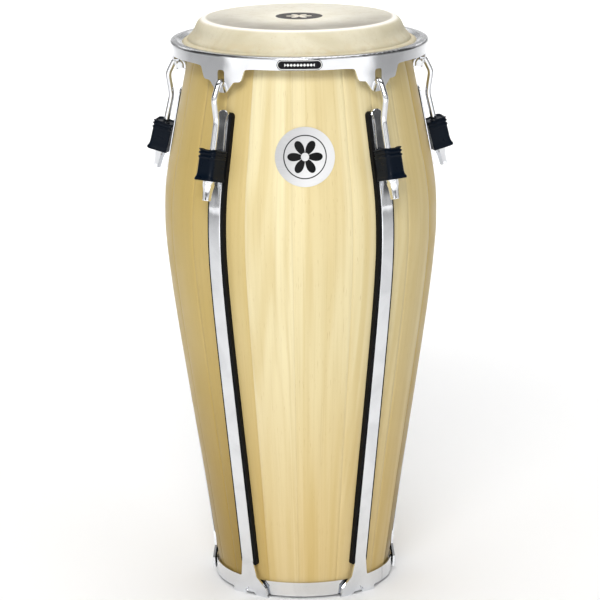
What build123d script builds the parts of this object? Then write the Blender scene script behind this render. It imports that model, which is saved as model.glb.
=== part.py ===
"""A tunable conga drum: staved shell, skin head, tuning rim, five hooks with nuts, and a side-rib frame.

Millimetres. +Z is up, the floor is z = 0 and the drum's axis is x = y = 0. The badges are on the front, -Y.
Heights are measured from the floor and radii from the drum's axis.
"""
from build123d import *
from math import acos, atan2, cos, degrees, hypot, radians, sin
import os

os.makedirs("parts", exist_ok=True)

# ---------------------------------------------------------------- the whole drum
LUG_ANGLES = [234, 306, 18, 90, 162]  # polar angle of each tuning lug, from +X
SKIN_TOP = 766.0
SKIN = 2.0  # thickness of the hide
THROUGH = 210.0  # further from the axis than any piece, for solids that run right out
MARGIN = 5.0  # how far a cutting solid runs past what it cuts

# ---------------------------------------------------------------- wooden shell
STAVE_SEAMS = [  # polar angle of each glue line; the boards differ in width
    -21.5, -2.0, 16.0, 38.0, 52.0, 70.0, 88.0, 110.0, 128.0, 142.0,
    163.0, 185.0, 201.0, 219.0, 233.0, 246.5, 266.5, 291.5, 306.0, 320.5,
]
WALL = 11.0
SHELL_BOTTOM = 6.0
BEARING_CORNER = (132.3, SKIN_TOP - SKIN)  # where the turned side and the flat top would meet
BEARING_ROUNDING = 11.0
BEARING_FLAT_RADIUS = 121.0  # inner edge of the flat that the skin lies on
SHELL_SIDE = [  # radius and height of the turned outside, from the floor to the rounded top edge
    (112.9, 0.0),
    (135.0, 150.0),
    (157.7, 300.0),
    (171.8, 400.0),
    (180.7, 505.0),
    (178.4, 550.0),
    (169.4, 600.0),
    (149.2, 702.0),
    (140.0, 738.0),
    (136.4, 750.0),
]

# ---------------------------------------------------------------- skin head and its hoop
COLLAR_TOP = 750.0  # below this the skin stretches when the head is tuned
COLLAR_OUTER = [(141.0, 745.6), (145.0, 741.4)]  # radius and height of points on the flare's two faces
COLLAR_INNER = [(139.3, 744.6), (143.3, 740.2)]
COLLAR_FOOT = (146.4, 148.4)  # radii of the two faces where the collar meets the roll
COLLAR_GAP = 0.3  # above the roll
HOOP_RADIUS = 148.6
HOOP_HEIGHT = 731.8
HOOP_WIRE = 3.6  # radius of the steel wire
SKIN_WRAP = 1.9  # thickness of the hide wrapped round the wire

# ---------------------------------------------------------------- tuning rim
RIM_SHEET = 2.5
RIM_RADIUS = 170.0
RIM_BOTTOM = 721.5
EAR_TIP = 689.0
RIM_LINE = [  # middle of the bent sheet, radius and height, from its inner lip down to the ears' tips
    (154.9, 734.4),
    (161.0, 737.0),
    (RIM_RADIUS - RIM_SHEET / 2, 736.6),
    (RIM_RADIUS - RIM_SHEET / 2, EAR_TIP),
]
RIM_BENDS = 2.2
EAR_OUTLINE = [  # half width and height, from inside the rim down to the tip
    (46.5, RIM_BOTTOM + 3.0),
    (46.5, RIM_BOTTOM),
    (34.5, RIM_BOTTOM - 1.0),
    (29.0, 704.5),
    (19.0, 703.5),
    (7.5, EAR_TIP),
]
EAR_FILLET = 4.5
SLOT_WIDTH = 10.5
SLOT_BOTTOM = 698.0
SLOT_TOP = 718.0
SLOT_CORNER = 3.5
RIM_BADGE = (58.0, 13.2, 1.0)  # length, height and thickness of the oval plate
RIM_BADGE_HEIGHT = 728.5

# ---------------------------------------------------------------- tuning hooks and nuts
ROD = 4.0  # radius
ROD_LEAN = 13.5  # degrees: the rods splay outwards towards the floor
SEAT = (197.7, 580.4)  # radius and height where the rod leaves the underside of its bracket
ROD_END = -21.0  # along the rod, from the seat
ROD_CHAMFER = 1.0
HOOK_TIP = 4.0  # straight length of the hook's tip below the crook
CROOK = 9.0  # bend radius at the middle of the rod, where it hooks through the rim's slot
CROOK_GAP = 0.6  # between the crook and the slot's lower edge
SWAN_NECK = (184.8, 682.0)  # corner of the outward bend under the rim
NECK_BEND = 16.0
LOWER_BEND = 30.0
LOWER_BEND_HEIGHT = 653.5
NUT_LENGTH = 26.8
NUT_FLANGE = (8.0, 2.5)  # radius and thickness
NUT_ACROSS_FLATS = (12.7, 9.8)  # at the top and at the bottom
NUT_CLEARANCE = 0.05  # on the radius, round the rod
NUT_FLANGE_ROUNDING = 0.8
NUT_GAP = 0.1  # under the bracket

# ---------------------------------------------------------------- side ribs, pads and base ring
PAD = 6.0  # thickness of the rubber strip
PAD_WIDTH = 25.0
PAD_ENDS = (43.0, 662.0)
PAD_CORNER = 5.0
RIB = 3.0  # thickness of the steel strap
RIB_OUTLINE = [  # half width and height, from the strap's top down one side of the foot to its notch
    (9.0, 666.0),
    (9.0, 48.0),
    (12.5, 27.0),
    (26.0, 13.5),
    (28.5, 0.0),
    (8.5, 0.0),
    (6.0, 3.6),
]
RIB_TOP_ROUNDING = 8.9
RIB_BEVEL = 0.7
FLARE_HEIGHTS = (20.0, 60.0)  # the foot's two outward bends lie between these
FLARE_BENDS = 22.0
FOOT_CORNERS = 1.4
FOOT_SLOT = (5.5, 7.1)  # centre, sideways from the rib's middle and up from the floor
FOOT_SLOT_SIZE = (8.8, 2.2)
FOOT_SLOT_TILT = 47
RIGHT_HAND_LUGS = (306, 18)
RING_BOTTOM = 3.5
RING_TOP = 22.5
RING_RADIUS = 119.6
RING_BAND = 2.2
RING_LEDGE_RADIUS = 103.0
RING_SEAM = (1.2, 0.6)  # depth and width of the closed seam in the band
RING_SEAM_ANGLE = 332

# ---------------------------------------------------------------- brackets and rubber boots
BRACKET_HALF_WIDTH = 10.0
BRACKET_OUTER = 11.5  # from the rod's axis, away from the drum
BRACKET_ROOT = 20.0  # from the rod's axis, towards the drum
BRACKET_TOP = 34.0  # along the rod, from the seat
BRACKET_BORE = 4.6
BRACKET_SHOULDER = 11.5  # from the rod's axis towards the drum, where the block narrows to its neck
BRACKET_NECK = 7.0  # half width of the part welded to the rib
BOOT_INNER = 13.0  # from the rod's axis to the boot's face towards the drum
BOOT_OUTER = 14.0  # from the rod's axis to its face away from the drum
BOOT_HALF_WIDTH = 12.5
BOOT_CORNER = 5.0  # rounding of the two upright corners away from the drum
BOOT_BOTTOM = -1.5
BOOT_TOP = 37.5
BOOT_ROOF_ROUNDING = 1.0
BOOT_RIDGES = [(34.8, 37.0), (29.8, 32.4)]
BOOT_RIDGE = 0.8  # how far a ridge stands out
BOOT_RIDGE_FLAT = 0.6  # width of a ridge's crest
BOOT_LIP = 2.4  # how far the flared lip stands out
BOOT_LIP_TOP = 6.5
BOOT_LIP_EDGE = 1.5
BOOT_ROD_HOLE = 6.0

# ---------------------------------------------------------------- shell badge
SHELL_BADGE = (38.1, 1.0)  # radius and thickness
SHELL_BADGE_PLACE = (167.2, 610.5)  # radius and height of the shell's side behind the badge's middle
SHELL_BADGE_SLOPE = 11.5  # degrees: the shell leans in as it rises there
SHELL_BADGE_TURN = 2.0  # degrees right of the front, as it is fixed on the drum


def move_side(distance):
    """The shell's side outline moved outwards."""
    return [(radius + distance, height) for radius, height in SHELL_SIDE]


def side_corner_below(height):
    """A test that picks a flat outline's corners below a height, leaving out those on its centre line."""
    return lambda corner: corner.Y < height and abs(corner.X) > 1


def export(part, name):
    """Label one node and write it."""
    part.label = name
    export_step(part, f"parts/{name}.step")


def export_at_lugs(part, name):
    """Write a copy of a piece at each of the five lugs."""
    for number, angle in enumerate(LUG_ANGLES, 1):
        export(Rot(0, 0, angle) * part, f"{name}_{number}")


# The plane of the nut's seat: its X points away from the drum and its Z up the rod.
LEAN = radians(ROD_LEAN)
seat_plane = Plane(
    origin=(SEAT[0], 0, SEAT[1]), x_dir=(cos(LEAN), 0, sin(LEAN)), z_dir=(-sin(LEAN), 0, cos(LEAN))
)


def on_rod(distance):
    """Radius and height of a point on the rod's straight part, measured up from the seat."""
    return SEAT[0] - distance * sin(LEAN), SEAT[1] + distance * cos(LEAN)


# ================================================================ shell
# Each stave is the wall's section turned from its own glue line to the next.
with BuildSketch(Plane.XZ) as wall:
    with BuildLine():
        outside = Spline(*SHELL_SIDE)
        Polyline(outside @ 1, BEARING_CORNER, (BEARING_FLAT_RADIUS, BEARING_CORNER[1]))
        inside = Spline(*move_side(-WALL))
        Line(inside @ 1, (BEARING_FLAT_RADIUS, BEARING_CORNER[1]))
        Line(outside @ 0, inside @ 0)
    make_face()
    fillet(wall.vertices().sort_by_distance(BEARING_CORNER)[0], BEARING_ROUNDING)
    Rectangle(2 * THROUGH, 2 * SHELL_BOTTOM, mode=Mode.SUBTRACT)

staves = []
for seam, next_seam in zip(STAVE_SEAMS, STAVE_SEAMS[1:] + [STAVE_SEAMS[0] + 360]):
    with BuildPart() as stave:
        add(wall.sketch)
        revolve(axis=Axis.Z, revolution_arc=next_seam - seam)
    staves.append(Rot(0, 0, seam) * stave.part)
export(Compound(children=staves), "shell_staves")

# The solid that the turned outside would bound, used to shape what lies against it.
with BuildPart() as shell_blank:
    with BuildSketch(Plane.XZ):
        with BuildLine():
            outside = Spline(*SHELL_SIDE)
            Polyline(outside @ 1, (0, SHELL_SIDE[-1][1]), (0, 0), outside @ 0)
        make_face()
    revolve(axis=Axis.Z)

# ================================================================ head
shell_top = SHELL_SIDE[-1][0]
with BuildPart() as skin_crown:
    with BuildSketch(Plane.XY.offset(SKIN_TOP - SKIN)):
        Circle(BEARING_FLAT_RADIUS)
    extrude(amount=SKIN)
export(skin_crown.part, "skin_crown")

with BuildPart() as skin_shoulder:
    with BuildSketch(Plane.XZ) as section:
        outer_corner = (BEARING_CORNER[0] + SKIN, SKIN_TOP)
        with BuildLine():
            Polyline(
                (BEARING_FLAT_RADIUS, SKIN_TOP),
                outer_corner,
                (shell_top + SKIN, COLLAR_TOP),
                (shell_top, COLLAR_TOP),
                BEARING_CORNER,
                (BEARING_FLAT_RADIUS, SKIN_TOP - SKIN),
                close=True,
            )
        make_face()
        fillet(section.vertices().sort_by_distance(outer_corner)[0], BEARING_ROUNDING + SKIN)
        fillet(section.vertices().sort_by_distance(BEARING_CORNER)[0], BEARING_ROUNDING)
    revolve(axis=Axis.Z)
export(skin_shoulder.part, "skin_shoulder")

collar_bottom = HOOP_HEIGHT + HOOP_WIRE + SKIN_WRAP + COLLAR_GAP
with BuildPart() as skin_collar:
    with BuildSketch(Plane.XZ):
        with BuildLine():
            outer = Spline((shell_top + SKIN, COLLAR_TOP), *COLLAR_OUTER, (COLLAR_FOOT[1], collar_bottom))
            inner = Spline((shell_top, COLLAR_TOP), *COLLAR_INNER, (COLLAR_FOOT[0], collar_bottom))
            Line(outer @ 0, inner @ 0)
            Line(outer @ 1, inner @ 1)
        make_face()
    revolve(axis=Axis.Z)
export(skin_collar.part, "skin_collar")

with BuildPart() as flesh_hoop:
    with BuildSketch(Plane.XZ):
        with Locations((HOOP_RADIUS, HOOP_HEIGHT)):
            Circle(HOOP_WIRE)
    revolve(axis=Axis.Z)
export(flesh_hoop.part, "flesh_hoop")

with BuildPart() as skin_roll:
    with BuildSketch(Plane.XZ):
        with Locations((HOOP_RADIUS, HOOP_HEIGHT)):
            Circle(HOOP_WIRE + SKIN_WRAP)
            Circle(HOOP_WIRE, mode=Mode.SUBTRACT)
    revolve(axis=Axis.Z)
export(skin_roll.part, "skin_roll")

# ================================================================ rim
# The sheet is turned with a skirt as deep as the ears, and the skirt is then trimmed to their outline.
with BuildPart() as ear_outline:
    with BuildSketch(Plane.YZ) as ear_front:
        with BuildLine():
            half = Polyline((0, EAR_OUTLINE[0][1]), *EAR_OUTLINE, (0, EAR_TIP))
            mirror(half, about=Plane.YZ)
        make_face()
        fillet(ear_front.vertices().filter_by(side_corner_below(RIM_BOTTOM)), EAR_FILLET)
    extrude(amount=THROUGH)

with BuildPart() as hook_slot:
    with BuildSketch(Plane.YZ):
        with Locations((0, (SLOT_BOTTOM + SLOT_TOP) / 2)):
            RectangleRounded(SLOT_WIDTH, SLOT_TOP - SLOT_BOTTOM, SLOT_CORNER)
    extrude(amount=THROUGH)

with BuildPart() as rim:
    with BuildSketch(Plane.XZ):
        with BuildLine():
            FilletPolyline(*RIM_LINE, radius=RIM_BENDS)
            offset(amount=RIM_SHEET / 2, side=Side.BOTH)
        make_face()
    revolve(axis=Axis.Z)
    with BuildSketch(Plane.XY.offset(RIM_BOTTOM)):
        Circle(RIM_RADIUS + MARGIN)
        Circle(RIM_RADIUS - RIM_SHEET - MARGIN, mode=Mode.SUBTRACT)
    trim = extrude(amount=EAR_TIP - RIM_BOTTOM - MARGIN, mode=Mode.PRIVATE)
    for angle in LUG_ANGLES:
        trim -= Rot(0, 0, angle) * ear_outline.part
    add(trim, mode=Mode.SUBTRACT)
    for angle in LUG_ANGLES:
        add(Rot(0, 0, angle) * hook_slot.part, mode=Mode.SUBTRACT)
export(rim.part, "rim")

with BuildPart() as rim_badge:
    with BuildSketch(Plane.XY.offset(RIM_BADGE_HEIGHT - RIM_BADGE[1])):
        Circle(RIM_RADIUS + RIM_BADGE[2])
        Circle(RIM_RADIUS, mode=Mode.SUBTRACT)
    extrude(amount=2 * RIM_BADGE[1])
    with BuildSketch(Plane.XZ):
        with Locations((0, RIM_BADGE_HEIGHT)):
            SlotOverall(RIM_BADGE[0], RIM_BADGE[1])
    extrude(amount=THROUGH, mode=Mode.INTERSECT)
export(rim_badge.part, "rim_badge")

# ================================================================ hooks and nuts
# The rod runs up leaning in towards the drum, swells out in a swan neck and hooks through the rim's slot.
crook_centre = (RIM_RADIUS - RIM_SHEET / 2, SLOT_BOTTOM + CROOK_GAP - CROOK + ROD)
neck_run, neck_drop = SWAN_NECK[0] - crook_centre[0], SWAN_NECK[1] - crook_centre[1]
# The angle round the crook's centre where the swan neck's upper leg runs into the crook.
neck_angle = atan2(neck_drop, neck_run) + acos(CROOK / hypot(neck_run, neck_drop))
neck_top = (crook_centre[0] + CROOK * cos(neck_angle), crook_centre[1] + CROOK * sin(neck_angle))
lower_bend = on_rod((LOWER_BEND_HEIGHT - SEAT[1]) / cos(LEAN))
with BuildPart() as hook:
    with BuildLine(Plane.XZ) as rod_line:
        FilletPolyline(on_rod(ROD_END), lower_bend, SWAN_NECK, neck_top, radius=(LOWER_BEND, NECK_BEND))
        CenterArc(crook_centre, CROOK, degrees(neck_angle), 180 - degrees(neck_angle))
        tip_top = (crook_centre[0] - CROOK, crook_centre[1])
        Line(tip_top, (tip_top[0], tip_top[1] - HOOK_TIP))
    with BuildSketch(seat_plane.offset(ROD_END)):
        Circle(ROD)
    sweep()
    ends = hook.faces().filter_by(GeomType.PLANE).edges()
    chamfer(ends, ROD_CHAMFER)
export_at_lugs(hook.part, "hook")

with BuildPart() as nut:
    with BuildSketch(seat_plane.offset(-NUT_GAP)):
        Circle(NUT_FLANGE[0])
    extrude(amount=-NUT_FLANGE[1])
    fillet(nut.edges(), NUT_FLANGE_ROUNDING)
    with BuildSketch(seat_plane.offset(-NUT_GAP - NUT_FLANGE[1] / 2)):
        RegularPolygon(NUT_ACROSS_FLATS[0] / 2, 6, major_radius=False)
    with BuildSketch(seat_plane.offset(-NUT_LENGTH)):
        RegularPolygon(NUT_ACROSS_FLATS[1] / 2, 6, major_radius=False)
    loft()
    with BuildSketch(seat_plane):
        Circle(ROD + NUT_CLEARANCE)
    extrude(amount=-NUT_LENGTH - MARGIN, mode=Mode.SUBTRACT)
export_at_lugs(nut.part, "nut")

# ================================================================ base ring
with BuildPart() as base_ring:
    with BuildSketch(Plane.XZ):
        with BuildLine():
            Polyline(
                (RING_LEDGE_RADIUS, RING_BOTTOM),
                (RING_RADIUS, RING_BOTTOM),
                (RING_RADIUS, RING_TOP),
                (RING_RADIUS - RING_BAND, RING_TOP),
                (RING_RADIUS - RING_BAND, SHELL_BOTTOM),
                (RING_LEDGE_RADIUS, SHELL_BOTTOM),
                close=True,
            )
        make_face()
    revolve(axis=Axis.Z)
    with BuildSketch(Plane.XY.rotated((0, 0, RING_SEAM_ANGLE)).offset(RING_BOTTOM)):
        with Locations((RING_RADIUS, 0)):
            Rectangle(*RING_SEAM)
    extrude(amount=RING_TOP - RING_BOTTOM, mode=Mode.SUBTRACT)
export(base_ring.part, "base_ring")

# ================================================================ side ribs and their pads
# A rib is a flat strap that follows the staves and widens into a foot.
# The slot in the foot leans one way on the right-hand ribs and the other way on the rest.
FOOT_HALF_WIDTH = max(half_width for half_width, height in RIB_OUTLINE)
with BuildPart() as strap:
    with BuildSketch(Plane.XZ):
        with BuildLine():
            back = Spline(*move_side(PAD))
            front = Spline(*move_side(PAD + RIB))
            Line(back @ 0, front @ 0)
            Line(back @ 1, front @ 1)
        make_face()
    extrude(amount=FOOT_HALF_WIDTH + MARGIN, both=True)

with BuildPart() as rib:
    with BuildSketch(Plane.YZ) as rib_front:
        with BuildLine():
            half = Polyline((0, RIB_OUTLINE[0][1]), *RIB_OUTLINE, (0, RIB_OUTLINE[-1][1]))
            mirror(half, about=Plane.YZ)
        make_face()
        corners = rib_front.vertices()
        fillet(corners.sort_by(Axis.Y)[-2:], RIB_TOP_ROUNDING)
        fillet(corners.filter_by_position(Axis.Y, *FLARE_HEIGHTS), FLARE_BENDS)
        fillet(corners.filter_by(side_corner_below(FLARE_HEIGHTS[0])), FOOT_CORNERS)
    extrude(amount=THROUGH)
    add(strap.part, mode=Mode.INTERSECT)
    add(base_ring.part, mode=Mode.SUBTRACT)
    # The strap's four long edges are its longest; the outer two are bevelled.
    long_edges = rib.edges().sort_by(SortBy.LENGTH)[-4:]
    chamfer(long_edges.sort_by(Axis.X)[-2:], RIB_BEVEL)

for number, angle in enumerate(LUG_ANGLES, 1):
    mirrored = angle in RIGHT_HAND_LUGS
    with BuildPart() as handed_rib:
        add(rib.part)
        with BuildSketch(Plane.YZ):
            with Locations(((1 if mirrored else -1) * FOOT_SLOT[0], FOOT_SLOT[1])):
                SlotOverall(*FOOT_SLOT_SIZE, rotation=-FOOT_SLOT_TILT if mirrored else FOOT_SLOT_TILT)
        extrude(amount=THROUGH, mode=Mode.SUBTRACT)
    export(Rot(0, 0, angle) * handed_rib.part, f"rib_{number}")

with BuildPart() as pad:
    with BuildSketch(Plane.XZ):
        with BuildLine():
            back = Spline(*move_side(-PAD))
            front = Spline(*move_side(PAD))
            Line(back @ 0, front @ 0)
            Line(back @ 1, front @ 1)
        make_face()
    extrude(amount=PAD_WIDTH / 2 + MARGIN, both=True)
    with BuildSketch(Plane.YZ):
        with Locations((0, (PAD_ENDS[0] + PAD_ENDS[1]) / 2)):
            RectangleRounded(PAD_WIDTH, PAD_ENDS[1] - PAD_ENDS[0], PAD_CORNER)
    extrude(amount=THROUGH, mode=Mode.INTERSECT)
    add(shell_blank.part, mode=Mode.SUBTRACT)
export_at_lugs(pad.part, "pad")

# ================================================================ brackets and boots
# The bracket is a steel block welded to the rib, bored for the rod.
with BuildPart() as bracket:
    with BuildSketch(seat_plane):
        with Locations(((BRACKET_OUTER - BRACKET_ROOT) / 2, 0)):
            Rectangle(BRACKET_OUTER + BRACKET_ROOT, 2 * BRACKET_HALF_WIDTH)
    extrude(amount=BRACKET_TOP)
    # The neck between the block and the rib is narrower than the block.
    with BuildSketch(seat_plane):
        with Locations((-(BRACKET_ROOT + BRACKET_SHOULDER) / 2, 0)):
            Rectangle(BRACKET_ROOT - BRACKET_SHOULDER, 2 * BRACKET_HALF_WIDTH)
            Rectangle(BRACKET_ROOT - BRACKET_SHOULDER, 2 * BRACKET_NECK, mode=Mode.SUBTRACT)
    extrude(amount=BRACKET_TOP, mode=Mode.SUBTRACT)
    with BuildSketch(seat_plane):
        Circle(BRACKET_BORE)
    extrude(amount=BRACKET_TOP, mode=Mode.SUBTRACT)
    add(strap.part, mode=Mode.SUBTRACT)
# The strap cuts the root in two, and the piece behind the strap is left out.
bracket_block = bracket.part.solids().sort_by(SortBy.VOLUME)[-1]
export_at_lugs(bracket_block, "bracket")


def boot_outline(distance, spread):
    """The boot's outline across the rod, at a distance up from the seat.

    The spread is how far it stands out, except towards the drum, where it lies along the rib.
    """
    depth = BOOT_INNER + BOOT_OUTER + spread
    with BuildSketch(seat_plane.offset(distance)) as outline:
        with Locations((depth / 2 - BOOT_INNER, 0)):
            Rectangle(depth, 2 * (BOOT_HALF_WIDTH + spread))
        outer_corners = outline.vertices().sort_by(Axis.X)[-2:]
        fillet(outer_corners, BOOT_CORNER + spread)
    return outline.sketch


# The boot is a rubber sleeve pushed over the block, with a roof, two ridges and a flared lip.
with BuildPart() as boot:
    extrude(boot_outline(BOOT_BOTTOM, 0), amount=BOOT_TOP - BOOT_BOTTOM)
    roof = boot.faces().sort_by(Axis((0, 0, 0), seat_plane.z_dir))[-1]
    fillet(roof.edges(), BOOT_ROOF_ROUNDING)
    for low, high in BOOT_RIDGES:
        crest = (low + high - BOOT_RIDGE_FLAT) / 2
        loft([boot_outline(low, 0), boot_outline(crest, BOOT_RIDGE)])
        extrude(boot_outline(crest, BOOT_RIDGE), amount=BOOT_RIDGE_FLAT)
        loft([boot_outline(crest + BOOT_RIDGE_FLAT, BOOT_RIDGE), boot_outline(high, 0)])
    extrude(boot_outline(BOOT_BOTTOM, BOOT_LIP), amount=BOOT_LIP_EDGE - BOOT_BOTTOM)
    loft([boot_outline(BOOT_LIP_EDGE, BOOT_LIP), boot_outline(BOOT_LIP_TOP, 0)])
    # The cavity that the block fills, open downwards round the nut and towards the rib.
    with BuildSketch(seat_plane.offset(BOOT_BOTTOM)):
        with Locations(((BRACKET_OUTER - BRACKET_SHOULDER) / 2, 0)):
            Rectangle(BRACKET_OUTER + BRACKET_SHOULDER, 2 * BRACKET_HALF_WIDTH)
        with Locations((-BRACKET_ROOT / 2, 0)):
            Rectangle(BRACKET_ROOT, 2 * BRACKET_NECK)
    extrude(amount=BRACKET_TOP - BOOT_BOTTOM, mode=Mode.SUBTRACT)
    with BuildSketch(seat_plane):
        Circle(BOOT_ROD_HOLE)
    extrude(amount=BOOT_TOP + MARGIN, mode=Mode.SUBTRACT)
export_at_lugs(boot.part, "boot")

# ================================================================ shell badge
# A thin disc bent to the shell.
with BuildPart() as shell_badge:
    with BuildSketch(Plane.XZ):
        with BuildLine():
            back = Spline(*SHELL_SIDE)
            front = Spline(*move_side(SHELL_BADGE[1]))
            Line(back @ 0, front @ 0)
            Line(back @ 1, front @ 1)
        make_face()
    revolve(axis=Axis.Z)
    # Cut round, square to the shell's slope, and only out of the front of the turned sheet.
    slope = radians(SHELL_BADGE_SLOPE)
    face = Plane(
        origin=(0, -SHELL_BADGE_PLACE[0], SHELL_BADGE_PLACE[1]),
        x_dir=(1, 0, 0),
        z_dir=(0, -cos(slope), sin(slope)),
    )
    with BuildSketch(face):
        Circle(SHELL_BADGE[0])
    extrude(amount=SHELL_BADGE[0], both=True, mode=Mode.INTERSECT)
export(Rot(0, 0, SHELL_BADGE_TURN) * shell_badge.part, "shell_badge")
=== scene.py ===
"""The looks of the conga drum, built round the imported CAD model.

Metres, in the model's own frame: +Z is up, the floor is z = 0, the drum's axis is x = y = 0, and the front
with the badges faces -Y. Angles called "turn" are degrees round the axis, from +X.
"""

import random
from math import cos, hypot, pi, radians, sin

import bpy
from mathutils import Matrix, Vector, noise


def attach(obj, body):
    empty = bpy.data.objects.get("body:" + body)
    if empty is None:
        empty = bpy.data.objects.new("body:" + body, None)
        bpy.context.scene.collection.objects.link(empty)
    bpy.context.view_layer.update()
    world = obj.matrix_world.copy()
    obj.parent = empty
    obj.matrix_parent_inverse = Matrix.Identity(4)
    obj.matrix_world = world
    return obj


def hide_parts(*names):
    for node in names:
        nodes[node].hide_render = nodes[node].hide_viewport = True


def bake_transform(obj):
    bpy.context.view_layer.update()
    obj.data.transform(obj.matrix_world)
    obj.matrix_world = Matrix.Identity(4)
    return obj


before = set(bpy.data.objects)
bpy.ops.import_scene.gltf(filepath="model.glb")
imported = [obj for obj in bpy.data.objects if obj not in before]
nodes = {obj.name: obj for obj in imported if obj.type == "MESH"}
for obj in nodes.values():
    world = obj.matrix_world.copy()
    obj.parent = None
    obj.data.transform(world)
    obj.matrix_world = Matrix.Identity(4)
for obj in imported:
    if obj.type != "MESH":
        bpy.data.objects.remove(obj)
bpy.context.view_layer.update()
MM = 0.001
LUG_TURNS = (234, 306, 18, 90, 162)
random.seed(7)


# ---------------------------------------------------------------- node helpers
# Where Blender's Mix node keeps its colour sockets.
COLOUR_A, COLOUR_B, MIXED_COLOUR = 6, 7, 2


class Nodes:
    """A node tree. Each method adds a node and hands back the node's output socket."""

    def __init__(self, tree):
        self.tree = tree

    def set(self, socket, value):
        """Feeds a socket of a node from another socket or from a plain value."""
        if isinstance(value, bpy.types.NodeSocket):
            self.tree.links.new(value, socket)
        elif isinstance(value, (tuple, list)) and len(value) == 3 and socket.type == "RGBA":
            socket.default_value = (*value, 1)
        else:
            socket.default_value = value

    def where(self):
        """The point's place in the model's frame, in metres."""
        return self.tree.nodes.new("ShaderNodeTexCoord").outputs["Object"]

    def attribute(self, name, output="Fac"):
        """A value that the mesh itself carries."""
        node = self.tree.nodes.new("ShaderNodeAttribute")
        node.attribute_name = name
        return node.outputs[output]

    def math(self, operation, a, b=0.0):
        node = self.tree.nodes.new("ShaderNodeMath")
        node.operation = operation
        self.set(node.inputs[0], a)
        self.set(node.inputs[1], b)
        return node.outputs[0]

    def times(self, a, b):
        return self.math("MULTIPLY", a, b)

    def plus(self, a, b):
        return self.math("ADD", a, b)

    def minus(self, a, b):
        return self.math("SUBTRACT", a, b)

    def length(self, a, b):
        """The distance of a point a, b from the origin of its plane."""
        return self.math("SQRT", self.plus(self.math("POWER", a, 2.0), self.math("POWER", b, 2.0)))

    def split(self, vector):
        node = self.tree.nodes.new("ShaderNodeSeparateXYZ")
        self.set(node.inputs[0], vector)
        return node.outputs

    def join(self, x, y, z):
        node = self.tree.nodes.new("ShaderNodeCombineXYZ")
        for socket, value in zip(node.inputs, (x, y, z)):
            self.set(socket, value)
        return node.outputs[0]

    def scaled(self, vector, scale):
        node = self.tree.nodes.new("ShaderNodeMapping")
        self.set(node.inputs["Vector"], vector)
        node.inputs["Scale"].default_value = scale
        return node.outputs[0]

    def noise(self, vector, scale, detail=4.0, roughness=0.55, distortion=0.0):
        node = self.tree.nodes.new("ShaderNodeTexNoise")
        self.set(node.inputs["Vector"], vector)
        values = {"Scale": scale, "Detail": detail, "Roughness": roughness, "Distortion": distortion}
        for name, value in values.items():
            node.inputs[name].default_value = value
        return node.outputs[0]

    def cells(self, vector, scale):
        """The distance to the middle of the nearest cell of a random pattern."""
        node = self.tree.nodes.new("ShaderNodeTexVoronoi")
        self.set(node.inputs["Vector"], vector)
        node.inputs["Scale"].default_value = scale
        return node.outputs["Distance"]

    def between(self, value, low, high, to_low=0.0, to_high=1.0):
        """Maps low..high to to_low..to_high, smoothly and clamped."""
        node = self.tree.nodes.new("ShaderNodeMapRange")
        node.interpolation_type = "SMOOTHSTEP"
        for socket, given in zip(node.inputs, (value, low, high, to_low, to_high)):
            self.set(socket, given)
        return node.outputs[0]

    def band(self, value, low, high, soft):
        """1 between low and high, falling off over a soft edge on each side."""
        return self.times(self.between(value, low - soft, low + soft),
                          self.between(value, high - soft, high + soft, 1.0, 0.0))

    def mix(self, factor, a, b):
        """Colour a where the factor is 0, and colour b where it is 1."""
        node = self.tree.nodes.new("ShaderNodeMix")
        node.data_type = "RGBA"
        self.set(node.inputs[0], factor)
        self.set(node.inputs[COLOUR_A], a)
        self.set(node.inputs[COLOUR_B], b)
        return node.outputs[MIXED_COLOUR]


class Paint(Nodes):
    """One procedural material."""

    def __init__(self, name, **shader_values):
        self.material = bpy.data.materials.new(name)
        self.material.use_nodes = True
        super().__init__(self.material.node_tree)
        self.tree.nodes.clear()
        self.shader = self.tree.nodes.new("ShaderNodeBsdfPrincipled")
        output = self.tree.nodes.new("ShaderNodeOutputMaterial")
        self.tree.links.new(self.shader.outputs["BSDF"], output.inputs["Surface"])
        for socket, value in shader_values.items():
            self.shader.inputs[socket.replace("_", " ")].default_value = value

    def feed(self, name, value):
        """Feeds one of the shader's own sockets."""
        self.set(self.shader.inputs[name], value)

    def bump(self, height, distance, strength=1.0):
        node = self.tree.nodes.new("ShaderNodeBump")
        self.set(node.inputs["Height"], height)
        node.inputs["Distance"].default_value = distance
        node.inputs["Strength"].default_value = strength
        self.feed("Normal", node.outputs[0])


def paint_over(piece, paint):
    """Gives a piece this one material, in place of whatever it has."""
    piece.data.materials.clear()
    piece.data.materials.append(paint.material)


# ---------------------------------------------------------------- mesh helpers
def mesh_piece(name, points, faces, sharp=180):
    """A smooth-shaded mesh object. Its edges look sharp where they turn by more than that many degrees."""
    mesh = bpy.data.meshes.new(name)
    mesh.from_pydata([tuple(p) for p in points], [], faces)
    mesh.validate()
    mesh.update()
    mesh.polygons.foreach_set("use_smooth", [True] * len(mesh.polygons))
    mesh.set_sharp_from_angle(angle=radians(sharp))
    piece = bpy.data.objects.new(name, mesh)
    bpy.context.scene.collection.objects.link(piece)
    return piece


def smooth_line(points, steps):
    """Points on a smooth curve through all the given ones, with that many steps from each to the next."""
    def at(t, a, b, c, d):
        bend, twist = 2 * a - 5 * b + 4 * c - d, 3 * b - a - 3 * c + d
        return 0.5 * (2 * b + (c - a) * t + bend * t * t + twist * t ** 3)

    ends = [points[0], *points, points[-1]]
    line = []
    for four in zip(ends, ends[1:], ends[2:], ends[3:]):
        line += [tuple(at(step / steps, *along) for along in zip(*four)) for step in range(steps)]
    return [*line, tuple(points[-1])]


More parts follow.
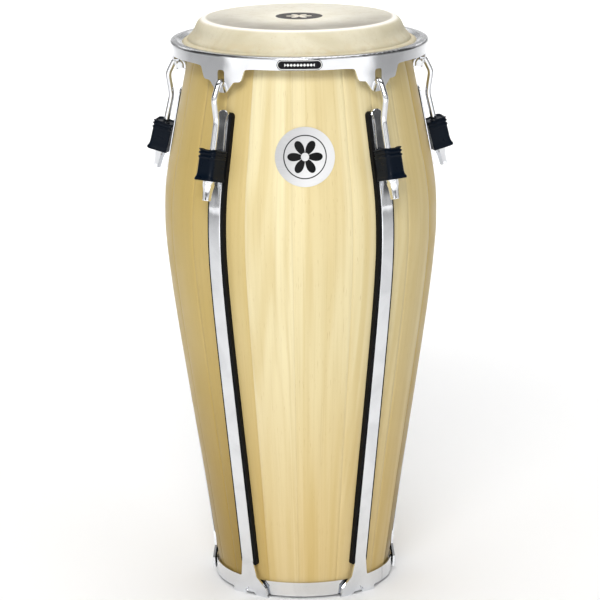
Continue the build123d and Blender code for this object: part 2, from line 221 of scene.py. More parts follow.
def ring_faces(rings, count):
    """Faces between rings of count points each, and from the last ring back to the first."""
    faces = []
    for level in range(rings):
        this, following = level * count, (level + 1) % rings * count
        for i in range(count):
            beside = (i + 1) % count
            faces.append((this + i, following + i, following + beside, this + beside))
    return faces


# ---------------------------------------------------------------- materials
def wood_paint():
    """Lacquered pale hardwood, with painted shade towards the base and on the side staves. The mesh says how
    each stave runs, how dark it is and which board it is.
    """
    paint = Paint("lacquered_staves", Specular_IOR_Level=0.12, Coat_Weight=0.03, Coat_Roughness=0.2)
    across, along, _ = paint.split(paint.attribute("grain", "Vector"))
    board = paint.attribute("board")
    tone = paint.attribute("tone")
    inside = paint.attribute("inside")
    seam = paint.attribute("seam")

    def streaks(fineness, length, detail, distortion=0.0):
        """Noise drawn out along the stave: the counts are per metre across it and along it."""
        place = paint.join(paint.times(across, fineness), paint.times(along, length), board)
        return paint.noise(place, 1.0, detail, distortion=distortion)

    broad = streaks(34, 1.5, 2, 1.2)
    medium = streaks(120, 2.2, 3, 0.9)
    fine = streaks(620, 7, 4, 0.4)
    pores = streaks(1300, 60, 1)
    patches = streaks(9, 4, 2)

    pale, tan, dark, warm = (0.77, 0.685, 0.43), (0.52, 0.375, 0.115), (0.40, 0.28, 0.10), (0.75, 0.63, 0.38)
    pore, shaded_honey, deep_shade, glue = (0.36, 0.22, 0.09), (0.58, 0.34, 0.05), (0.12, 0.08, 0.02), (0.34, 0.21, 0.09)
    unlacquered = (0.45, 0.33, 0.19)
    # Each stave's darkness: its own colour, and painted shade on the staves at the sides.
    colour = paint.mix(tone, pale, tan)
    colour = paint.mix(paint.between(broad, 0.40, 0.70, 0, 0.42), colour, tan)
    colour = paint.mix(paint.between(medium, 0.48, 0.76, 0, 0.20), colour, dark)
    colour = paint.mix(paint.between(patches, 0.35, 0.7, 0, 0.16), colour, warm)
    colour = paint.mix(paint.between(fine, 0.50, 0.75, 0, 0.13), colour, dark)
    colour = paint.mix(paint.between(pores, 0.68, 0.76, 0, 0.30), colour, pore)
    # Painted shade: the wood is painted darker and more yellow towards the base, and deeper still there on
    # the darkest boards, the ones at the sides.
    low_shade = paint.between(along, 0.02, 0.42, 1.0, 0.0)
    colour = paint.mix(paint.times(low_shade, 0.38), colour, shaded_honey)
    darkest = paint.math("POWER", tone, 4.0)
    colour = paint.mix(paint.times(darkest, paint.times(low_shade, 0.63)), colour, deep_shade)
    colour = paint.mix(paint.times(seam, 0.42), colour, glue)
    colour = paint.mix(paint.times(inside, 0.55), colour, unlacquered)
    paint.feed("Base Color", colour)
    sheen_patches = paint.noise(paint.where(), 30, 3)
    rough = paint.between(sheen_patches, 0.3, 0.7, 0.33, 0.43)
    paint.feed("Roughness", paint.plus(rough, paint.times(inside, 0.3)))
    paint.bump(paint.plus(paint.times(fine, 0.6), medium), 0.00008, 0.5)
    return paint


def chrome_paint():
    """Polished plate with faint ripples, wipe marks, hairline scratches and painted shade along the top of
    the rim's lip.
    """
    paint = Paint("polished_chrome", Metallic=1.0)
    where = paint.where()
    smears = paint.noise(where, 22, 4, distortion=0.6)
    hairlines = paint.noise(paint.scaled(where, (900, 900, 40)), 1.0, 2)
    dust = paint.between(paint.noise(where, 420, 2), 0.66, 0.75, 0, 0.25)
    clean, smeared = (0.80, 0.81, 0.83), (0.71, 0.72, 0.74)
    lip_shade_grey, dusty = (0.34, 0.345, 0.355), (0.62, 0.62, 0.62)
    colour = paint.mix(paint.between(smears, 0.4, 0.7), clean, smeared)
    # Painted shade: the top of the rim's lip, which is the only chrome this high, is painted darker for the
    # dark reflection it shows there, and made rougher.
    _, _, height = paint.split(where)
    lip_shade_mask = paint.between(height, 0.7345, 0.7362)
    colour = paint.mix(paint.times(lip_shade_mask, 0.85), colour, lip_shade_grey)
    paint.feed("Base Color", paint.mix(dust, colour, dusty))
    rough = paint.between(smears, 0.35, 0.7, 0.05, 0.12)
    rough = paint.plus(rough, paint.times(lip_shade_mask, 0.16))
    paint.feed("Roughness", paint.plus(rough, paint.between(hairlines, 0.6, 0.8, 0, 0.05)))
    ripples = paint.noise(where, 34, 1)
    paint.bump(paint.plus(ripples, paint.times(hairlines, 0.02)), 0.0006, 0.35)
    return paint


def rubber_paint(name, colour, dusty, roughness, gloss):
    """Moulded rubber with a fine skin, scuffs and a little dust."""
    paint = Paint(name, Specular_IOR_Level=gloss)
    where = paint.where()
    scuffs = paint.noise(where, 90, 5, 0.6, 0.4)
    grit = paint.noise(where, 1400, 2)
    blend = paint.between(scuffs, 0.48, 0.75, 0, 0.5)
    paint.feed("Base Color", paint.mix(blend, colour, dusty))
    paint.feed("Roughness", paint.between(scuffs, 0.3, 0.7, roughness, roughness + 0.16))
    paint.bump(paint.plus(grit, paint.times(scuffs, 0.8)), 0.00012, 0.35)
    return paint


def steel_paint():
    """Plain drawn wire."""
    paint = Paint("hoop_wire", Metallic=1.0)
    marks = paint.noise(paint.where(), 260, 4)
    paint.feed("Base Color", paint.mix(marks, (0.5, 0.5, 0.5), (0.3, 0.29, 0.28)))
    paint.feed("Roughness", paint.between(marks, 0.3, 0.7, 0.3, 0.5))
    paint.bump(marks, 0.0001, 0.3)
    return paint


PRINT_EDGE = 0.0003  # how soft the edges of printed marks are
PETALS = 6
PETAL_POWER = 0.55  # below 1 it makes the petals' tips round


def rosette(paint, x, y, reach):
    """A mask that is 1 inside a flower about the point x = y = 0, and the distance from that point."""
    radius = paint.length(x, y)
    angle = paint.math("ARCTAN2", y, x)
    wave = paint.math("ABSOLUTE", paint.math("COSINE", paint.times(angle, PETALS / 2)))
    edge = paint.times(paint.math("POWER", wave, PETAL_POWER), reach)
    return paint.between(paint.minus(edge, radius), -PRINT_EDGE, PRINT_EDGE), radius


STAMP_RADIUS, STAMP_FLOWER = 0.0308, 0.017


def hide_paint():
    """Natural rawhide: translucent cream, blotched and flecked, with painted shade on the crown's front, a
    painted highlight along the shoulder and a plain rosette stamped on the crown.
    """
    paint = Paint("natural_hide", Subsurface_Weight=0.05, Subsurface_Scale=0.004, Specular_IOR_Level=0.16)
    paint.shader.inputs["Subsurface Radius"].default_value = (1.0, 0.6, 0.3)
    where = paint.where()
    x, y, z = paint.split(where)
    clouds = paint.noise(where, 14, 4, 0.55, 0.5)
    blotches = paint.noise(where, 55, 5, 0.6, 0.8)
    flecks = paint.noise(paint.scaled(where, (1, 1, 2)), 330, 3)
    veins = paint.cells(paint.scaled(where, (1, 1, 0.6)), 46)
    out = paint.length(x, y)
    white, cream, brown = (0.87, 0.83, 0.71), (0.81, 0.76, 0.63), (0.62, 0.54, 0.39)
    crown_shade_grey, vein, shoulder_highlight_cream = (0.38, 0.35, 0.295), (0.80, 0.77, 0.66), (0.98, 0.93, 0.85)
    fleck, ink_colour = (0.47, 0.36, 0.21), (0.045, 0.037, 0.035)
    colour = paint.mix(paint.between(clouds, 0.35, 0.68), white, cream)
    colour = paint.mix(paint.between(blotches, 0.5, 0.75, 0, 0.35), colour, brown)
    # Painted shade: the outer part of the crown is painted greyer, mostly on the player's side, towards the
    # front.
    crown_front_shade = paint.times(paint.between(out, 0.03, 0.11), paint.between(y, 0.09, -0.1, 0.2, 1.0))
    colour = paint.mix(crown_front_shade, colour, crown_shade_grey)
    colour = paint.mix(paint.between(veins, 0.5, 0.8, 0, 0.12), colour, vein)
    # The collar is creamier than the crown, and darker where it was soaked and folded near the roll.
    collar = paint.mix(paint.between(clouds, 0.35, 0.62), (0.65, 0.60, 0.455), (0.57, 0.515, 0.365))
    colour = paint.mix(paint.between(out, 0.1215, 0.1285), colour, collar)
    soaked = paint.times(paint.between(z, 0.754, 0.740), paint.between(blotches, 0.42, 0.66, 0.05, 0.5))
    colour = paint.mix(soaked, colour, (0.56, 0.46, 0.28))
    # Painted highlight: a pale band along the shoulder, where the hide bends over the bearing edge.
    shoulder = paint.times(paint.between(out, 0.1205, 0.1245), paint.between(out, 0.1265, 0.132, 1, 0))
    colour = paint.mix(shoulder, colour, shoulder_highlight_cream)
    colour = paint.mix(paint.between(flecks, 0.62, 0.72, 0, 0.45), colour, fleck)
    # The stamp: a worn dark disc with a plain rosette left pale in it.
    flower, radius = rosette(paint, x, y, STAMP_FLOWER)
    disc = paint.between(radius, STAMP_RADIUS - 0.0004, STAMP_RADIUS + 0.0004, 1.0, 0.0)
    ink = paint.times(disc, paint.minus(1.0, flower))
    worn = paint.between(blotches, 0.4, 0.8, 1.0, 0.85)
    colour = paint.mix(paint.times(ink, worn), colour, ink_colour)
    paint.feed("Base Color", colour)
    paint.feed("Roughness", paint.between(blotches, 0.3, 0.7, 0.5, 0.66))
    height = paint.plus(clouds, paint.times(blotches, 0.5))
    paint.bump(paint.plus(height, paint.times(flecks, 0.12)), 0.0006, 0.5)
    return paint


SHELL_BADGE_TURN, SHELL_BADGE_REACH, SHELL_BADGE_HEIGHT = 272, 0.168, 0.6107  # where its middle is
SHELL_BADGE_FLOWER, SHELL_BADGE_EYE, SHELL_BADGE_BORDER = 0.0225, 0.0052, (0.0262, 0.0276)


def shell_badge_paint():
    """Satin silver plate with a dark rosette and a thin border line."""
    paint = Paint("silver_badge", Specular_IOR_Level=0.12)
    x, _, z = paint.split(paint.where())
    across = paint.minus(x, SHELL_BADGE_REACH * cos(radians(SHELL_BADGE_TURN)))
    up = paint.minus(z, SHELL_BADGE_HEIGHT)
    flower, radius = rosette(paint, across, up, SHELL_BADGE_FLOWER)
    eye = paint.band(radius, 0.0, SHELL_BADGE_EYE, PRINT_EDGE)
    mark = paint.times(flower, paint.minus(1.0, eye))
    mark = paint.math("MAXIMUM", mark, paint.band(radius, *SHELL_BADGE_BORDER, PRINT_EDGE))
    shade = paint.between(paint.plus(across, paint.times(up, -0.4)), -0.03, 0.03)
    grain = paint.noise(paint.scaled(paint.where(), (80, 80, 2400)), 1.0, 2)
    silver = paint.mix(shade, (0.47, 0.47, 0.475), (0.72, 0.72, 0.725))
    silver = paint.mix(paint.between(grain, 0.4, 0.7, 0, 0.15), silver, (0.75, 0.75, 0.76))
    paint.feed("Base Color", paint.mix(mark, silver, (0.003, 0.003, 0.0035)))
    paint.feed("Metallic", paint.times(paint.minus(1.0, mark), 0.2))
    paint.feed("Roughness", paint.between(grain, 0.3, 0.7, 0.28, 0.4))
    paint.bump(paint.plus(paint.times(grain, 0.1), mark), 0.0001, 0.5)
    return paint


RIM_BADGE_HALF_LENGTH, RIM_BADGE_HALF_HEIGHT, RIM_BADGE_HEIGHT, RIM_BADGE_REACH = 0.029, 0.0066, 0.7285, 0.171
RIM_BADGE_LINE = (0.0051, 0.0059)  # its pale line runs between these distances from the middle line
DIAMOND, DIAMOND_PITCH, DIAMONDS_END = 0.0020, 0.0042, 0.0191


def rim_badge_paint():
    """Black enamel with a pale edge line and a row of small diamonds."""
    paint = Paint("enamel_badge", Specular_IOR_Level=0.12)
    x, y, z = paint.split(paint.where())
    turn = paint.math("ARCTAN2", x, paint.times(y, -1.0))
    along = paint.math("ABSOLUTE", paint.times(turn, RIM_BADGE_REACH))
    up = paint.math("ABSOLUTE", paint.minus(z, RIM_BADGE_HEIGHT))
    past = paint.math("MAXIMUM", paint.minus(along, RIM_BADGE_HALF_LENGTH - RIM_BADGE_HALF_HEIGHT), 0.0)
    reach = paint.length(past, up)
    edge_line = paint.band(reach, *RIM_BADGE_LINE, 0.0002)
    wrapped = paint.minus(paint.math("PINGPONG", along, DIAMOND_PITCH), DIAMOND_PITCH / 2)
    diamond = paint.plus(paint.math("ABSOLUTE", wrapped), up)
    marks = paint.times(paint.between(diamond, DIAMOND - 0.0002, DIAMOND + 0.0002, 1.0, 0.0),
                        paint.between(along, DIAMONDS_END - 0.0001, DIAMONDS_END + 0.0001, 1.0, 0.0))
    pale = paint.math("MAXIMUM", edge_line, marks)
    speckle = paint.noise(paint.where(), 700, 3)
    black = paint.mix(speckle, (0.004, 0.004, 0.005), (0.010, 0.010, 0.011))
    paint.feed("Base Color", paint.mix(pale, black, (0.80, 0.80, 0.78)))
    paint.feed("Roughness", paint.between(speckle, 0.3, 0.7, 0.2, 0.32))
    paint.bump(paint.plus(pale, paint.times(speckle, 0.05)), 0.0002, 0.6)
    return paint


wood = wood_paint()
chrome = chrome_paint()
hide = hide_paint()
boot_rubber = rubber_paint("boot_rubber", (0.0015, 0.0045, 0.0105), (0.003, 0.007, 0.015), 0.26, 0.11)
pad_rubber = rubber_paint("pad_rubber", (0.003, 0.003, 0.0035), (0.012, 0.012, 0.013), 0.5, 0.12)
hoop_wire = steel_paint()

for name, node in nodes.items():
    kind = name.rstrip("_12345")
    if kind in ("rim", "base_ring", "rib", "bracket", "hook", "nut"):
        paint_over(node, chrome)
    elif kind == "boot":
        paint_over(node, boot_rubber)
    elif kind == "pad":
        paint_over(node, pad_rubber)
paint_over(nodes["flesh_hoop"], hoop_wire)
paint_over(nodes["shell_badge"], shell_badge_paint())
paint_over(nodes["rim_badge"], rim_badge_paint())

# ---------------------------------------------------------------- shell
# Turned outside, radius and height in mm, then over the bearing edge and down the inside.
SHELL_SIDE = [
    (113.8, 6), (121.2, 55), (128.4, 104), (135.0, 150), (142.6, 200), (150.3, 250), (157.7, 300),
    (165.0, 350), (171.8, 400), (177.0, 445), (180.1, 480), (180.7, 505), (180.3, 527), (178.4, 550),
    (174.6, 576), (169.4, 600), (163.4, 631), (156.4, 666), (149.2, 702), (144.4, 720), (140.0, 738),
    (136.9, 748), (135.2, 755), (133.0, 759.6), (129.5, 762.6), (125.5, 763.8), (121.5, 764)]
SHELL_INSIDE = [
    (121.0, 763.9), (121.8, 760), (125.4, 750), (129.0, 738), (138.2, 702), (158.4, 600), (167.4, 550),
    (169.7, 505), (160.8, 400), (146.7, 300), (124.0, 150), (102.9, 6.2), (103.2, 6)]
# Glue lines, degrees round the axis, each with the darkness of the stave that follows it: 0 pale, 1 tan. The
# darkest staves, at the sides, are partly painted side shade.
STAVES = [
    (-21.5, 1.0), (-2, 0.8), (16, 0.75), (38, 0.2), (52, 0.5), (70, 0.35), (88, 0.8), (110, 0.3), (128, 0.6),
    (142, 0.45), (163, 0.35), (185, 0.95), (201, 0.90), (219, 0.92), (233, 0.66), (246.5, 0.0), (266.5, 0.15),
    (291.5, 0.15), (306, 0.32), (320.5, 0.45)]
COLUMN = 1.6  # degrees, about one column of faces
GROOVE_HALF_WIDTH, GROOVE_DEPTH = 0.09, 0.18  # degrees and mm, of the line where two staves meet
GRAIN_RADIUS = 0.15  # metres, turns degrees round the shell into metres across its grain


def shell_columns():
    """The turns of the mesh's columns, with a stave number for the faces after each and 1 on a glue line."""
    columns = []
    for number, (start, _) in enumerate(STAVES):
        end = STAVES[number + 1][0] if number + 1 < len(STAVES) else STAVES[0][0] + 360
        first, last = start + GROOVE_HALF_WIDTH, end - GROOVE_HALF_WIDTH
        steps = max(2, round((last - first) / COLUMN))
        columns.append((start, number, 1.0))
        columns += [(first + (last - first) * step / steps, number, 0.0) for step in range(steps)]
        columns.append((last, number, 0.0))
    return columns


def build_shell():
    """The staved shell in one mesh, whose faces know their stave's darkness (partly painted side shade),
    board and grain.
    """
    outside = smooth_line(SHELL_SIDE, 4)
    inside = smooth_line(SHELL_INSIDE[:-1], 3) + [SHELL_INSIDE[-1]]
    profile = [(r * MM, z * MM) for r, z in outside + inside]
    columns = shell_columns()
    rows = len(profile)
    points = []
    for turn, _, on_seam in columns:
        c, s = cos(radians(turn)), sin(radians(turn))
        for row, (r, z) in enumerate(profile):
            if row < len(outside):
                r -= GROOVE_DEPTH * MM * on_seam
            points.append((r * c, r * s, z))
    shell = mesh_piece("stave_shell", points, ring_faces(len(columns), rows), sharp=50)

    mesh = shell.data
    boards = [random.uniform(0, 90) for _ in STAVES]
    numbers = [number for _, number, _ in columns for _ in range(rows)]
    values = {
        ("tone", "FACE"): [STAVES[number][1] for number in numbers],
        ("board", "FACE"): [boards[number] for number in numbers],
        ("inside", "FACE"): [float(row >= len(outside)) for _ in columns for row in range(rows)],
        ("seam", "POINT"): [on_seam for _, _, on_seam in columns for _ in range(rows)]}
    for (name, domain), each in values.items():
        mesh.attributes.new(name, "FLOAT", domain).data.foreach_set("value", each)
    grain = mesh.attributes.new("grain", "FLOAT_VECTOR", "CORNER")
    for polygon in mesh.polygons:
        index = polygon.index // rows
        first, last = columns[index][0], columns[(index + 1) % len(columns)][0]
        if last < first:
            last += 360
        for corner, vertex in zip(polygon.loop_indices, polygon.vertices):
            turn = first if vertex // rows == index else last
            grain.data[corner].vector = (radians(turn) * GRAIN_RADIUS, profile[vertex % rows][1], 0)
    paint_over(shell, wood)
    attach(shell, "drum")
    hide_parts("shell_staves")


build_shell()

# ---------------------------------------------------------------- hide
# Radius and height in mm, from the crown out over the shoulder and down, and back up on the inner side.
HIDE_OUTSIDE = [
    (60, 766), (100, 766), (117, 765.9), (124.5, 765.3), (129.8, 763.6), (133.2, 760.6), (135.5, 756.6),
    (137.2, 752.6), (139.2, 748.6), (141.8, 745.0), (144.4, 742.2), (146.0, 739.9), (146.6, 738.0)]
HIDE_INSIDE = [
    (144.9, 737.6), (144.1, 739.4), (142.6, 740.9), (140.1, 743.6), (137.6, 747.2), (135.6, 751.6),
    (133.9, 755.8), (131.7, 759.4), (128.7, 761.9), (124.2, 763.5), (116, 764.05), (60, 764.05)]
HOOP_RADIUS, HOOP_HEIGHT, WIRE, WRAP = 148.6, 731.8, 3.65, 5.5
ROLL_STEP = 12  # degrees
HIDE_COLUMNS = 200
CROWN_TOP, CROWN_UNDERSIDE = 0.766, 0.76405
WAVER, WAVER_START, WAVER_FADE = 0.0005, 0.750, 0.012  # how far the folded edge wanders, and from what height
ROLL_TOP, ROLL_WAVER = 0.7372, 0.6  # the roll itself, below this height, wanders by this share
WAVER_UP = 0.4  # share of the wandering that goes up and down
WAVES_ROUND, WAVES_UP = 3, 30


def about_hoop(radius, angles):
    """Points of the hide's section round the hoop's wire."""
    return [(HOOP_RADIUS + radius * cos(radians(a)), HOOP_HEIGHT + radius * sin(radians(a))) for a in angles]


def build_hide():
    """One hide: crown, shoulder, flared collar and the edge rolled round the hoop's wire."""
    roll = about_hoop(WRAP, range(104, -221, -ROLL_STEP))
    tuck = about_hoop(WIRE, range(-220, 105, ROLL_STEP))
    profile = smooth_line(HIDE_OUTSIDE, 4) + roll + tuck + smooth_line(HIDE_INSIDE, 3)
    profile = [(r * MM, z * MM) for r, z in profile]
    rows = len(profile)
    points = [(0, 0, CROWN_TOP), (0, 0, CROWN_UNDERSIDE)]
    for column in range(HIDE_COLUMNS):
        turn = 2 * pi * column / HIDE_COLUMNS
        c, s = cos(turn), sin(turn)
        for r, z in profile:
            # The edge was gathered wet, so the roll and the collar wander a little.
            share = min(1.0, max(0.0, (WAVER_START - z) / WAVER_FADE)) * (ROLL_WAVER if z < ROLL_TOP else 1.0)
            waver = noise.noise(Vector((c * WAVES_ROUND, s * WAVES_ROUND, z * WAVES_UP))) * WAVER * share
            points.append(((r + waver) * c, (r + waver) * s, z + WAVER_UP * waver))
    faces = []
    for column in range(HIDE_COLUMNS):
        a, b = 2 + column * rows, 2 + (column + 1) % HIDE_COLUMNS * rows
        faces.append((0, a, b))
        faces.append((1, b + rows - 1, a + rows - 1))
        faces += [(a + row, a + row + 1, b + row + 1, b + row) for row in range(rows - 1)]
    skin = mesh_piece("hide_head", points, faces, sharp=60)
    paint_over(skin, hide)
    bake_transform(skin)
    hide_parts("skin_crown", "skin_shoulder", "skin_collar", "skin_roll")


build_hide()

# ---------------------------------------------------------------- rubber boots
# Millimetres from the seat of the nut: outwards from the drum, sideways, and up the leaning rod.
SEAT_RADIUS, SEAT_HEIGHT, LEAN = 197.7, 580.4, radians(13.5)
BOOT_INNER, BOOT_OUTER, BOOT_SIDE, BOOT_CORNER = 13.0, 14.0, 12.5, 5.0
CORNER_GROWTH = 0.6  # how much the corner's radius grows for each mm that the rubber stands out
INNER_BEVEL = 0.5
BLOCK = (11.55, 10.05)  # half sizes of the cavity that the bracket fills
BOOT_LEVELS = [  # height up the rod and how far the rubber stands out, from the flared lip to the rolled top
    (-1.5, 1.7), (-1.3, 2.2), (-0.7, 2.4), (0.6, 2.4), (1.4, 2.2), (2.6, 1.5), (4.2, 0.8), (6.5, 0.3),
    (10, 0.05), (16, 0), (23, 0), (26.4, 0), (27.0, 0.2), (27.7, 0.95), (28.5, 1.15), (29.3, 0.9), (29.9, 0),
    (30.5, -0.35), (31.1, -0.35), (31.7, 0.1), (32.4, 1.0), (33.2, 1.25), (34.0, 1.0), (34.6, 0.1),
    (35.2, -0.1), (35.9, 0.6), (36.7, 1.25), (37.3, 1.0), (37.5, 0.2), (37.1, -0.7)]
BOOT_FOOT = -1.5
ROOF, ROOF_INSET, ROD_HOLE, ROD_HOLE_ROUNDING = 35.6, 1.6, 6.0, 1.6
HOLE_EDGE, CAVITY_TOP = 34.4, 34.2
CURL, CURL_START = 1.5, 27.0  # the rubber above this height curls up towards its corners by this much
CURL_INNER_SHARE = 0.4  # on the side towards the drum it curls only by this share


def lug_point(turn, out, across, up):
    """A point of the lug at that turn: mm from the nut's seat in, metres in the model's frame out."""
    radius = SEAT_RADIUS + out * cos(LEAN) - up * sin(LEAN)
    height = SEAT_HEIGHT + out * sin(LEAN) + up * cos(LEAN)
    c, s = cos(radians(turn)), sin(radians(turn))
    return (radius * c - across * s) * MM, (radius * s + across * c) * MM, height * MM


def boot_ring(spread, height):
    """The boot's outline: square towards the drum, rounded outwards, standing out only on its open sides."""
    outer, side, corner = BOOT_OUTER + spread, BOOT_SIDE + spread, BOOT_CORNER + CORNER_GROWTH * spread
    inner = max(0.0, -spread) - BOOT_INNER
    straight = outer - corner - inner
    ring = [(inner, side * share / 3) for share in (-2, -1, 0, 1, 2)]
    ring += [(inner, side - INNER_BEVEL), (inner + INNER_BEVEL, side)]
    ring += [(inner + straight * share / 4, side) for share in (1, 2, 3)]
    ring += [(outer - corner + corner * sin(radians(a)), side - corner + corner * cos(radians(a)))
             for a in range(0, 91, 15)]
    ring += [(outer, (side - corner) * share / 3) for share in (2, 1, 0, -1, -2)]
    ring += [(outer - corner + corner * cos(radians(a)), corner - side - corner * sin(radians(a)))
             for a in range(0, 91, 15)]
    ring += [(inner + straight * share / 4, -side) for share in (3, 2, 1)]
    ring += [(inner + INNER_BEVEL, -side), (inner, INNER_BEVEL - side)]
    curl = CURL * max(0.0, (height - CURL_START) / (ROOF - CURL_START))
    return [(out, across, height + curl * (across / side) ** 2 * (1 if out > 0 else CURL_INNER_SHARE))
            for out, across in ring]


def pulled_to(ring, reach, height):
    """A ring moved onto another closed outline round the rod, each point along its own direction."""
    moved = []
    for out, across, _ in ring:
        c, s = out / hypot(out, across), across / hypot(out, across)
        moved.append((c * reach(c, s), s * reach(c, s), height))
    return moved


def build_boot(number, turn):
    """A moulded sleeve pushed over the bracket: flared lip, two ridges, rolled top, a hole for the rod."""
    def block_edge(c, s):
        return min(BLOCK[0] / max(abs(c), 0.001), BLOCK[1] / max(abs(s), 0.001))

    def hole(c, s):
        return ROD_HOLE

    def rounded_hole(c, s):
        return ROD_HOLE + ROD_HOLE_ROUNDING

    top = boot_ring(-ROOF_INSET, ROOF)
    rings = [boot_ring(spread, height) for height, spread in BOOT_LEVELS]
    rings += [top, pulled_to(top, rounded_hole, ROOF + 0.3), pulled_to(top, hole, ROOF)]
    rings += [pulled_to(top, hole, HOLE_EDGE), pulled_to(top, block_edge, CAVITY_TOP)]
    rings.append(pulled_to(top, block_edge, BOOT_FOOT))
    points = [lug_point(turn, *point) for ring in rings for point in ring]
    boot = mesh_piece(f"boot_sleeve_{number}", points, ring_faces(len(rings), len(top)), sharp=40)
    paint_over(boot, boot_rubber)
    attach(boot, "drum")
    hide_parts(f"boot_{number}")


for number, turn in enumerate(LUG_TURNS, 1):
    build_boot(number, turn)

# ---------------------------------------------------------------- lug nuts
NUT_TOP, NUT_FOOT, BORE = 0.15, 26.8, 4.05
# Distance below the seat, radius, and how deep the hollow of each flat is, in mm.
NUT_LEVELS = [
    (NUT_TOP, BORE, 0), (NUT_TOP, 7.0, 0), (0.3, 7.6, 0), (0.8, 7.95, 0), (1.8, 7.95, 0), (2.6, 7.85, 0.1),
    (3.4, 7.75, 0.5), (6, 7.6, 0.85), (8.6, 7.4, 0.95), (10.4, 6.8, 0.9), (12.2, 6.4, 0.9), (16, 6.15, 1.0),
    (21, 5.8, 1.0), (25, 5.55, 0.85), (26.2, 5.35, 0.5), (26.7, 4.9, 0.2), (NUT_FOOT, 4.3, 0),
    (NUT_FOOT, BORE, 0)]
NUT_COLUMNS = 72
FLAT_POWER = 0.55  # below 1 it makes the flats wide and their edges narrow


def build_nut(number, turn):
    """A long flanged nut with six slightly hollow flats, tapering towards its foot, with the rod's bore."""
    points = []
    for down, reach, hollow in NUT_LEVELS:
        for column in range(NUT_COLUMNS):
            angle = 2 * pi * column / NUT_COLUMNS
            radius = reach - hollow * abs(sin(3 * angle)) ** FLAT_POWER
            points.append(lug_point(turn, radius * cos(angle), radius * sin(angle), -down))
    nut = mesh_piece(f"lug_nut_{number}", points, ring_faces(len(NUT_LEVELS), NUT_COLUMNS), sharp=32)
    paint_over(nut, chrome)
    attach(nut, f"nut_{number}")
    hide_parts(f"nut_{number}")


for number, turn in enumerate(LUG_TURNS, 1):
    build_nut(number, turn)

# ---------------------------------------------------------------- studio
FLOOR_COLOUR, FLOOR_CLOTH = (0.95, 0.95, 0.95), (0.93575, 0.93575, 0.93575)
FLOOR_HALF_WIDTH, FLOOR_FRONT = 9.0, -9.0
WALL_START, WALL_BEND, WALL_TOP = 5.0, 1.2, 1.5
FRONT_GLOW, GLOW_FROM, GLOW_FULL = 0.85, -1.5, -2.3  # the floor shines softly in front of the drum


def build_backdrop():
    """A pale floor that curves up into a low wall far behind the drum, and glows softly in front of it."""
    line = [(FLOOR_FRONT, 0.0), (WALL_START, 0.0)]
    line += [(WALL_START + WALL_BEND * sin(radians(a)), WALL_BEND * (1 - cos(radians(a))))
             for a in range(6, 91, 6)]
    line.append((WALL_START + WALL_BEND, WALL_TOP))
    points = [(side * FLOOR_HALF_WIDTH, y, z) for y, z in line for side in (-1, 1)]
    faces = [(2 * i, 2 * i + 1, 2 * i + 3, 2 * i + 2) for i in range(len(line) - 1)]
    stage = mesh_piece("pale_floor", points, faces)
    paint = Paint("pale_floor", Roughness=0.7)
    paint.feed("Base Color", paint.mix(paint.noise(paint.where(), 3, 3), FLOOR_COLOUR, FLOOR_CLOTH))
    paint.shader.inputs["Emission Color"].default_value = (1, 1, 1, 1)
    _, y, _ = paint.split(paint.where())
    paint.feed("Emission Strength", paint.between(y, GLOW_FULL, GLOW_FROM, FRONT_GLOW, 0.0))
    paint_over(stage, paint)


def soft_light(name, place, target, size, power):
    data = bpy.data.lights.new(name, "AREA")
    data.shape = "RECTANGLE"
    data.size, data.size_y = size
    data.energy = power
    light = bpy.data.objects.new(name, data)
    bpy.context.scene.collection.objects.link(light)
    aim = Vector(target) - Vector(place)
    light.matrix_world = Matrix.Translation(place) @ aim.to_track_quat("-Z", "Y").to_matrix().to_4x4()


# Brightness of the room, of its ceiling, and of the apron before it and beside it. Angles are in degrees.
ROOM, CEILING, APRON, SIDE_APRON = 0.07, 0.3, 1.3, 0.2
CEILING_FROM, CEILING_SOFT = 55, 10
APRON_EDGE, APRON_EDGE_SOFT, APRON_TOP, APRON_TOP_SOFT = 70, 8, 2, 2
PANELS = [  # degrees round from the front, degrees above the horizon, glow
    (-1, 13, 4, 40, 1.2), (24, 58, 4, 40, 0.95), (62, 76, 9, 26, 0.9), (78, 100, 4, 13, 0.6),
    (125, 150, 6, 20, 0.5), (160, 190, 6, 55, 0.35)]
PANEL_EDGE = 2  # degrees


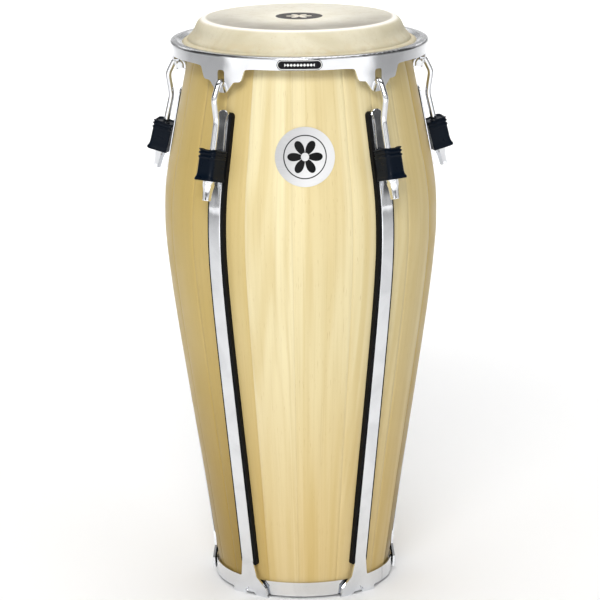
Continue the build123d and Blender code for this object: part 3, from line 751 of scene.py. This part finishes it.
def studio_world():
    """The room round the drum: a white apron before it, white panels with dark gaps, and grey elsewhere."""
    world = bpy.data.worlds.new("studio")
    world.use_nodes = True
    room = Nodes(world.node_tree)
    x, y, z = room.split(room.tree.nodes.new("ShaderNodeTexCoord").outputs["Generated"])
    aside = room.math("DEGREES", room.math("ARCTAN2", room.math("ABSOLUTE", x), room.times(y, -1.0)))
    height = room.math("DEGREES", room.math("ARCSINE", z))
    apron = room.between(aside, APRON_EDGE - APRON_EDGE_SOFT, APRON_EDGE + APRON_EDGE_SOFT,
                         APRON - ROOM, SIDE_APRON - ROOM)
    light = room.plus(ROOM, room.times(room.band(height, -90, APRON_TOP, APRON_TOP_SOFT), apron))
    light = room.plus(light, room.times(room.band(height, CEILING_FROM, 95, CEILING_SOFT), CEILING))
    for low, high, bottom, top, glow in PANELS:
        across = room.band(aside, low, high, PANEL_EDGE)
        up = room.band(height, bottom, top, PANEL_EDGE)
        light = room.plus(light, room.times(room.times(across, up), glow))
    room.set(room.tree.nodes["Background"].inputs["Color"], room.join(light, light, light))
    bpy.context.scene.world = world


build_backdrop()
studio_world()
soft_light("front_key", (-0.4, -3.0, 2.6), (0, 0, 0.5), (1.3, 1.1), 67)
soft_light("top", (0, 0.2, 4.5), (0, 0.2, 0), (3, 3), 75)
soft_light("floor_behind", (0, 3.9, 2.8), (0, 4.5, 0), (6.5, 3.4), 150)

# ---------------------------------------------------------------- camera
CAMERA_AT = (-0.0022, -3.625, 1.2905)
CAMERA_DOWN, CAMERA_ROLL = 14.07, -0.54
camera_data = bpy.data.cameras.new("camera")
camera_data.sensor_width = 36
camera_data.lens = 166.74
camera = bpy.data.objects.new("camera", camera_data)
bpy.context.scene.collection.objects.link(camera)
camera.matrix_world = (Matrix.Translation(CAMERA_AT) @ Matrix.Rotation(radians(90 - CAMERA_DOWN), 4, "X")
                       @ Matrix.Rotation(radians(CAMERA_ROLL), 4, "Z"))
bpy.context.scene.camera = camera
bpy.context.scene.view_settings.view_transform = "Standard"
